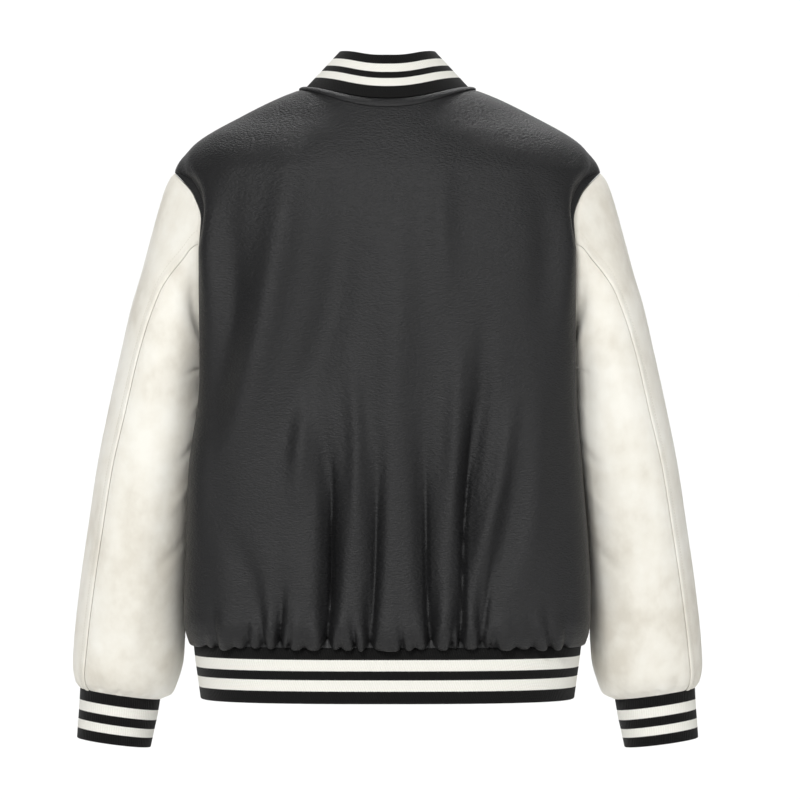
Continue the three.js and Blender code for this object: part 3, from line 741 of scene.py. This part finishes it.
def welt_wall(name):
    """The narrow welt that lies on the body just outside the neck seam, with a rounded top."""
    end = math.pi - WELT["from_front"] / NECK["front"]
    outsides = np.linspace(WELT["first"], WELT["last"], WELT_ROWS)
    angle, outside = np.meshgrid(np.linspace(-end, end, WELT_COLUMNS), outsides)
    base = neck(angle, outside)
    normal = normals(base, from_axis(base))
    share = (outside - WELT["first"]) / (WELT["last"] - WELT["first"])
    round_top = WELT["crown"] * np.sqrt(np.clip(1 - (2 * share - 1) ** 2, 0, 1))
    outer = base + normal * (WELT["edge"] + round_top)[..., None]
    inner = base + normal * WELT["clear"]
    return wall(name, outer, inner, distances(outer))


# ---- Meshes ----
def add_object(name, points, faces, sharp=None, material=None):
    """A smooth-shaded object in the scene. Edges sharper than the angle sharp, in degrees, stay sharp."""
    mesh = bpy.data.meshes.new(name)
    mesh.from_pydata(points, [], faces)
    mesh.polygons.foreach_set("use_smooth", np.ones(len(mesh.polygons), dtype=bool))
    if sharp:
        mesh.set_sharp_from_angle(angle=math.radians(sharp))
    if material:
        mesh.materials.append(material)
    obj = bpy.data.objects.new(name, mesh)
    bpy.context.scene.collection.objects.link(obj)
    return obj


def tube_faces(first, rings, sides):
    """Faces of a closed tube whose rings of points follow each other from the point numbered first."""
    faces = []
    for k in range(rings - 1):
        for j in range(sides):
            a, b = first + sides * k + j, first + sides * k + (j + 1) % sides
            faces.append((a, b, b + sides, a + sides))
    faces.append(tuple(range(first, first + sides))[::-1])
    faces.append(tuple(range(first + sides * (rings - 1), first + sides * rings)))
    return faces


def wall(name, outer, inner, uv, closed=False):
    """A closed shell between two grids of points. uv is how far each lies across and up the flat cloth."""
    rows, columns = outer.shape[:2]
    points = np.concatenate([outer.reshape(-1, 3), inner.reshape(-1, 3)]) * MM
    ids = np.arange(rows * columns).reshape(rows, columns)
    if closed:
        ids = np.concatenate([ids, ids[:, :1]], axis=1)
    deeper = ids + rows * columns

    def quads(a, b, c, d):
        return np.stack([a.ravel(), b.ravel(), c.ravel(), d.ravel()], axis=1)

    faces = [
        quads(ids[:-1, :-1], ids[:-1, 1:], ids[1:, 1:], ids[1:, :-1]),
        quads(deeper[:-1, :-1], deeper[1:, :-1], deeper[1:, 1:], deeper[:-1, 1:]),
        quads(ids[0, :-1], deeper[0, :-1], deeper[0, 1:], ids[0, 1:]),
        quads(ids[-1, :-1], ids[-1, 1:], deeper[-1, 1:], deeper[-1, :-1]),
    ]
    if not closed:
        faces.append(quads(ids[:-1, 0], ids[1:, 0], deeper[1:, 0], deeper[:-1, 0]))
        faces.append(quads(ids[:-1, -1], deeper[:-1, -1], deeper[1:, -1], ids[1:, -1]))
    faces = np.concatenate(faces)
    first = points[faces[0]]
    away = np.cross(first[1] - first[0], first[2] - first[0])
    if away @ (outer[0, 0] - inner[0, 0]) < 0:
        faces = faces[:, ::-1]
    obj = add_object(name, points, faces, sharp=62)
    in_centimetres = np.stack([uv[0].ravel(), uv[1].ravel()], axis=1) / 10
    both = np.concatenate([in_centimetres, in_centimetres])
    loops = np.empty(len(obj.data.loops), dtype=np.int32)
    obj.data.loops.foreach_get("vertex_index", loops)
    layer = obj.data.uv_layers.new(name="cloth")
    layer.data.foreach_set("uv", both[loops].astype(np.float32).ravel())
    return obj


def shell(name, outer, away, thickness, uv, side=1):
    """A wall of even thickness behind a grid of points, mirrored for the wearer's left side."""
    flip = np.array([side, 1.0, 1.0])
    inner = outer - thickness * normals(outer, away)
    return wall(name, outer * flip, inner * flip, uv)


def along_path(values, distance, where):
    """Values given at distances along a path, at the places between them."""
    return np.stack([np.interp(where, distance, values[:, k]) for k in range(3)], axis=-1)


def stitches(name, path, normal, pitch=3.4, length=2.5, radius=0.3):
    """A row of sewing stitches along a path of points, as one mesh of small tapered rods."""
    steps = np.linalg.norm(np.diff(path, axis=0), axis=1)
    distance = np.concatenate([[0], np.cumsum(steps)])
    starts = np.arange(pitch / 2, distance[-1] - pitch, pitch)
    stops = np.array([0, 0.25, 0.75, 1]) * length
    radii = np.array([0.35, 1, 1, 0.35]) * radius
    sink = np.array([-0.2, 0.12, 0.12, -0.2])
    turns = np.arange(STITCH_SIDES)[:, None] / STITCH_SIDES * 2 * math.pi
    points, faces = [], []
    for start in starts:
        centre, up = along_path(path, distance, start + stops), along_path(normal, distance, start + stops)
        axis = centre[-1] - centre[0]
        axis /= np.linalg.norm(axis)
        across = np.cross(axis, up)
        first = len(points) * STITCH_SIDES
        for k in range(len(stops)):
            middle = centre[k] + up[k] * sink[k]
            points.append(middle + radii[k] * (np.cos(turns) * across[k] + np.sin(turns) * up[k]))
        faces += tube_faces(first, len(stops), STITCH_SIDES)
    return add_object(name, np.concatenate(points) * MM, faces, material=CREAM_THREAD)


# ---- Materials ----
class Nodes:
    """A material's node tree, with short calls to add nodes."""

    def __init__(self, name):
        self.material = bpy.data.materials.new(name)
        self.material.use_nodes = True
        self.tree = self.material.node_tree
        self.shader = self.tree.nodes["Principled BSDF"]

    def add(self, kind, settings=None, **inputs):
        node = self.tree.nodes.new(kind)
        for key, value in (settings or {}).items():
            setattr(node, key, value)
        for key, value in inputs.items():
            self.put(node, key.replace("_", " "), value)
        return node

    def put(self, node, key, value):
        socket = node.inputs[int(key) if key.isdigit() else key]
        if isinstance(value, bpy.types.NodeSocket):
            self.tree.links.new(value, socket)
        else:
            socket.default_value = value

    def math(self, operation, a, b=0.0):
        node = self.add("ShaderNodeMath", {"operation": operation})
        self.put(node, "0", a)
        self.put(node, "1", b)
        return node.outputs[0]

    def cloth(self, scale):
        """The cloth's own UV, in centimetres, scaled."""
        uv = self.add("ShaderNodeUVMap", {"uv_map": "cloth"})
        return self.add("ShaderNodeMapping", Vector=uv.outputs[0], Scale=scale).outputs[0]

    def place(self, scale):
        coordinate = self.add("ShaderNodeTexCoord")
        return self.add("ShaderNodeMapping", Vector=coordinate.outputs["Object"], Scale=scale).outputs[0]

    def noise(self, vector, scale, detail=3.0, roughness=0.5):
        noise = self.add("ShaderNodeTexNoise", Vector=vector, Scale=scale, Detail=detail, Roughness=roughness)
        return noise.outputs[0]

    def ramp(self, factor, *stops):
        node = self.add("ShaderNodeValToRGB", Fac=factor)
        ramp = node.color_ramp
        while len(ramp.elements) < len(stops):
            ramp.elements.new(0.5)
        for element, (position, color) in zip(ramp.elements, stops):
            element.position = position
            element.color = (*color, 1)
        return node.outputs[0]

    def bump(self, height, distance, strength=1.0, normal=None):
        node = self.add("ShaderNodeBump", Height=height, Distance=distance, Strength=strength)
        if normal is not None:
            self.put(node, "Normal", normal)
        return node.outputs[0]

    def blend(self, factor, a, b):
        """A mix of two colours, from a at 0 to b at 1. Its colour inputs are the sockets 6 and 7."""
        node = self.add("ShaderNodeMix", {"data_type": "RGBA"})
        self.put(node, "Factor", factor)
        self.put(node, "6", a)
        self.put(node, "7", b)
        return node.outputs[2]

    def finish(self, **inputs):
        """Set the shader's inputs, named with _ for each space."""
        for key, value in inputs.items():
            self.put(self.shader, key.replace("_", " "), value)
        return self.material


def leather():
    """Black coated cloth with a fine grain that is drawn out across the piece. It is nearly all gloss."""
    m = Nodes("leather")
    pebble = m.add(
        "ShaderNodeTexVoronoi",
        {"feature": "SMOOTH_F1"},
        Vector=m.cloth((2.6, 5.6, 1)),
        Scale=1.0,
        Smoothness=0.6,
    )
    fine = m.noise(m.cloth((3, 8, 1)), 1.0, 4, 0.65)
    broad = m.noise(m.place((7, 7, 4)), 1.0, 2, 0.5)
    height = m.math("ADD", m.math("MULTIPLY", pebble.outputs["Distance"], -0.6), fine)
    return m.finish(
        Base_Color=m.ramp(broad, (0.3, (0.0055, 0.0055, 0.006)), (0.7, (0.0085, 0.0085, 0.009))),
        Roughness=m.math("ADD", m.math("MULTIPLY", fine, 0.18), 0.4),
        Normal=m.bump(height, 0.0011, 0.8),
        Specular_IOR_Level=0.42,
    )


def suede():
    """Cream suede, mottled where its nap lies this way and that."""
    m = Nodes("suede")
    patches = m.noise(m.place((11, 11, 9)), 1.0, 3, 0.6)
    cloudy = m.noise(m.place((38, 38, 30)), 1.0, 3, 0.6)
    nap = m.noise(m.cloth((26, 26, 1)), 1.0, 3, 0.7)
    mottle = m.math("ADD", m.math("MULTIPLY", patches, 0.65), m.math("MULTIPLY", cloudy, 0.35))
    color = m.ramp(
        mottle,
        (0.38, (0.71, 0.67, 0.58)),
        (0.5, (0.82, 0.79, 0.705)),
        (0.62, (0.88, 0.86, 0.785)),
    )
    return m.finish(
        Base_Color=color,
        Roughness=0.95,
        Normal=m.bump(m.math("ADD", nap, m.math("MULTIPLY", cloudy, 1.5)), 0.0004, 0.5),
        Specular_IOR_Level=0.15,
        Sheen_Weight=0.25,
        Sheen_Roughness=0.6,
    )


def rib(name, width, stripes):
    """Striped rib knit, for a piece this wide in millimetres. Cloth heights start at its free edge."""
    m = Nodes(name)
    place = m.add("ShaderNodeSeparateXYZ", Vector=m.cloth((10, 10, 1)))
    wale = m.math("SINE", m.math("MULTIPLY", place.outputs[0], 2 * math.pi / WALE))
    course = m.math("SINE", m.math("MULTIPLY", place.outputs[1], 2 * math.pi / COURSE))
    fuzz = m.noise(m.cloth((14, 9, 1)), 1.0, 3, 0.6)
    uneven = m.math("MULTIPLY", m.math("SUBTRACT", fuzz, 0.5), 0.8)
    wobble = m.math("ADD", m.math("MULTIPLY", wale, 0.25), uneven)
    share = m.math("DIVIDE", m.math("ADD", place.outputs[1], wobble), width)
    cream = 0.0
    for low, high in (stripes[:2], stripes[2:]):
        above, below = m.math("GREATER_THAN", share, low), m.math("LESS_THAN", share, high)
        cream = m.math("ADD", m.math("MULTIPLY", above, below), cream)
    # Painted shade: the yarn's colour is darker in the grooves between the wales and lighter on their ridges. It
    # also varies at random with the fuzz.
    knit = m.math("ADD", m.math("MULTIPLY", wale, 0.2), fuzz)
    wale_shade_and_fuzz = m.ramp(knit, (0.2, (0.0, 0.0, 0.0)), (0.8, (1.0, 1.0, 1.0)))
    black = m.blend(wale_shade_and_fuzz, (0.003, 0.003, 0.003, 1), (0.009, 0.0088, 0.0085, 1))
    white = m.blend(wale_shade_and_fuzz, (0.78, 0.765, 0.70, 1), (0.88, 0.87, 0.81, 1))
    height = m.math("ADD", m.math("MULTIPLY", wale, 0.5), m.math("MULTIPLY", course, 0.15))
    height = m.math("ADD", height, m.math("MULTIPLY", fuzz, 0.5))
    return m.finish(
        Base_Color=m.blend(cream, black, white),
        Roughness=0.95,
        Normal=m.bump(height, 0.0005, 0.6),
        Specular_IOR_Level=0.12,
        Sheen_Weight=0.08,
    )


def thread(name, color):
    return Nodes(name).finish(Base_Color=(*color, 1), Roughness=0.7, Specular_IOR_Level=0.42)


def painted_metal():
    """Black paint on the snap caps, finely speckled."""
    m = Nodes("snap_paint")
    speck = m.noise(m.place((900, 900, 900)), 1.0, 2, 0.5)
    roughness = m.math("ADD", m.math("MULTIPLY", speck, 0.15), 0.28)
    return m.finish(Base_Color=(0.02, 0.02, 0.021, 1), Metallic=0.6, Roughness=roughness)


# ---- Pieces ----
def dress(obj, material):
    obj.data.materials.append(material)
    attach(obj, "root")
    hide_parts(obj.name.replace("look_", ""))


def add_back():
    grid, uv = body_grid(np.linspace(-SIDE, SIDE, BACK_COLUMNS), False)
    back = shell("look_back_panel", grid, from_axis(grid), BODY_WALL, uv)
    dress(back, LEATHER)


def add_fronts():
    """The fronts meet on the left front's lap. The right one is tucked in behind it."""
    lap = -LAP / (NECK["front"] * math.pi / 2)
    shares = np.concatenate([np.linspace(lap, 0, LAP_COLUMNS + 1)[:-1], np.linspace(0, SIDE, FRONT_COLUMNS)])
    behind = (BODY_WALL + LAP_GAP + LAP_PLAY) * (1 - smooth((shares + lap) / TUCK_FADE))
    for name, side, tuck in (("front_left", -1, 0.0), ("front_right", 1, behind[None, :])):
        grid, uv = body_grid(side * shares, True, tuck)
        front = shell(f"look_{name}", grid, from_axis(grid), BODY_WALL, uv)
        dress(front, LEATHER)


def add_top_panel(word, side):
    """A sleeve's top panel, with the row of stitches that holds down its lap."""
    grid, away, uv = sleeve_grid(SLEEVE_COLUMNS["top"], True)
    piece = shell(f"look_sleeve_top_{word}", grid, away, SLEEVE_WALL, uv, side)
    flip = np.array([side, 1.0, 1.0])
    path, normal = grid[:, STITCH_COLUMN] * flip, normals(grid, away)[:, STITCH_COLUMN] * flip
    row = stitches(f"stitches_sleeve_{word}", path, normal)
    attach(row, "root")
    dress(piece, SUEDE)


def add_under_panel(word, side):
    grid, away, uv = sleeve_grid(SLEEVE_COLUMNS["under"], False)
    piece = shell(f"look_sleeve_under_{word}", grid, away, SLEEVE_WALL, uv, side)
    dress(piece, SUEDE)


def add_cuff(word, side):
    knit = rib(f"cuff_rib_{word}", CUFF_WIDTH, STRIPES["cuff"])
    dress(cuff_wall(f"look_cuff_{word}", side), knit)


def add_trims():
    collar = rib("collar_rib_knit", COLLAR_WIDTH, STRIPES["collar"])
    dress(collar_wall("look_collar_rib"), collar)
    band = rib("band_rib_knit", BAND_WIDTH, STRIPES["band"])
    dress(band_wall("look_waistband_rib"), band)
    dress(welt_wall("look_neck_welt"), LEATHER)


def add_snap(index):
    """A round cap with a ring pressed into it, square to the cloth under it."""
    z = np.array([SNAP["first"] + SNAP["step"] * index])
    rows = BAND if z[0] < HEM_Z else BODY
    centre = section(rows, np.array([math.pi]), z)[0]
    beside = section(rows, np.array([math.pi + 0.01]), z)[0]
    above = section(rows, np.array([math.pi]), z + 1)[0]
    normal = Vector(np.cross(beside - centre, above - centre)).normalized()
    normal = normal if normal.y > 0 else -normal
    turned = normal.to_track_quat("Z", "Y").to_matrix()
    place = Vector(centre) + normal * SEAM_GAP
    turns = np.arange(SNAP_SIDES) / SNAP_SIDES * 2 * math.pi
    points = [(r * math.cos(t), r * math.sin(t), height) for r, height in SNAP_PROFILE for t in turns]
    points = [(turned @ Vector(point) + place) * MM for point in points]
    faces = [face[::-1] for face in tube_faces(0, len(SNAP_PROFILE), SNAP_SIDES)]
    obj = add_object(f"look_snap_{index + 1}", points, faces, sharp=50, material=PAINT)
    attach(obj, "root")
    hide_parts(f"snap_{index + 1}")


LEATHER, SUEDE, PAINT = leather(), suede(), painted_metal()
CREAM_THREAD = thread("cream_thread", (0.72, 0.69, 0.60))

add_back()
add_fronts()
for word, side in (("right", 1), ("left", -1)):
    add_top_panel(word, side)
    add_under_panel(word, side)
    add_cuff(word, side)
add_trims()
for index in range(SNAP["count"]):
    add_snap(index)


# ---- Stage, light and camera ----
# In metres: the floor's height, its near edge, where it curves up, the curve's radius and the wall's top.
STAGE = {"floor": -1.42, "near": -12.0, "bend": 5.8, "radius": 1.7, "top": 7.0, "half_width": 11.0}
MIDDLE = (0, 0, -0.35)
LIGHTS = {
    "key": {"place": (-1.2, -5.0, 2.9), "target": MIDDLE, "size": (1.5, 1.1), "power": 235},
    "left": {"place": (-3.0, -3.2, 0.9), "target": MIDDLE, "size": (0.8, 1.6), "power": 12},
    "right": {"place": (3.2, -3.0, 1.0), "target": MIDDLE, "size": (0.8, 1.6), "power": 36},
    "front_key": {"place": (0.3, 3.2, 4.2), "target": MIDDLE, "size": (1.6, 1.2), "power": 120},
    "backdrop_light": {"place": (0, 4.6, 3.6), "target": (0, 7.5, -0.4), "size": (6.0, 1.0), "power": 165},
}
WORLD_STRENGTH = 0.25
CAMERA_PLACE, CAMERA_LENS = (0.0139, -5.0, -0.346), 202.7


def add_sweep():
    """A pale floor that curves up into a backdrop."""
    floor, start, radius = STAGE["floor"], STAGE["bend"], STAGE["radius"]
    profile = [(STAGE["near"], floor), (start, floor)]
    for angle in np.linspace(0, math.pi / 2, 17)[1:]:
        profile.append((start + radius * math.sin(angle), floor + radius * (1 - math.cos(angle))))
    profile.append((start + radius, STAGE["top"]))
    points = [(x, y, z) for y, z in profile for x in (-STAGE["half_width"], STAGE["half_width"])]
    faces = [(2 * k, 2 * k + 1, 2 * k + 3, 2 * k + 2) for k in range(len(profile) - 1)]
    paint = Nodes("sweep_paint").finish(Base_Color=(0.9, 0.9, 0.9, 1), Roughness=0.9, Specular_IOR_Level=0.1)
    add_object("sweep", points, faces, material=paint)


def add_light(name, place, target, size, power):
    data = bpy.data.lights.new(name, "AREA")
    data.shape = "RECTANGLE"
    data.size, data.size_y = size
    data.energy = power
    obj = bpy.data.objects.new(name, data)
    obj.location = place
    obj.rotation_euler = (Vector(target) - Vector(place)).to_track_quat("-Z", "Y").to_euler()
    bpy.context.scene.collection.objects.link(obj)


def set_world():
    world = bpy.data.worlds.new("studio")
    world.use_nodes = True
    background = world.node_tree.nodes["Background"]
    background.inputs["Color"].default_value = (1, 1, 1, 1)
    background.inputs["Strength"].default_value = WORLD_STRENGTH
    bpy.context.scene.world = world
    bpy.context.scene.view_settings.view_transform = "Standard"


def add_camera():
    """The camera looks level at the back from straight behind, as in the photo."""
    data = bpy.data.cameras.new("camera")
    data.sensor_width = 36
    data.lens = CAMERA_LENS
    data.clip_end = 50
    camera = bpy.data.objects.new("camera", data)
    camera.location = CAMERA_PLACE
    camera.rotation_euler = (math.radians(90), 0, 0)
    bpy.context.scene.collection.objects.link(camera)
    bpy.context.scene.camera = camera


add_sweep()
for name, light in LIGHTS.items():
    add_light(name, **light)
set_world()
add_camera()
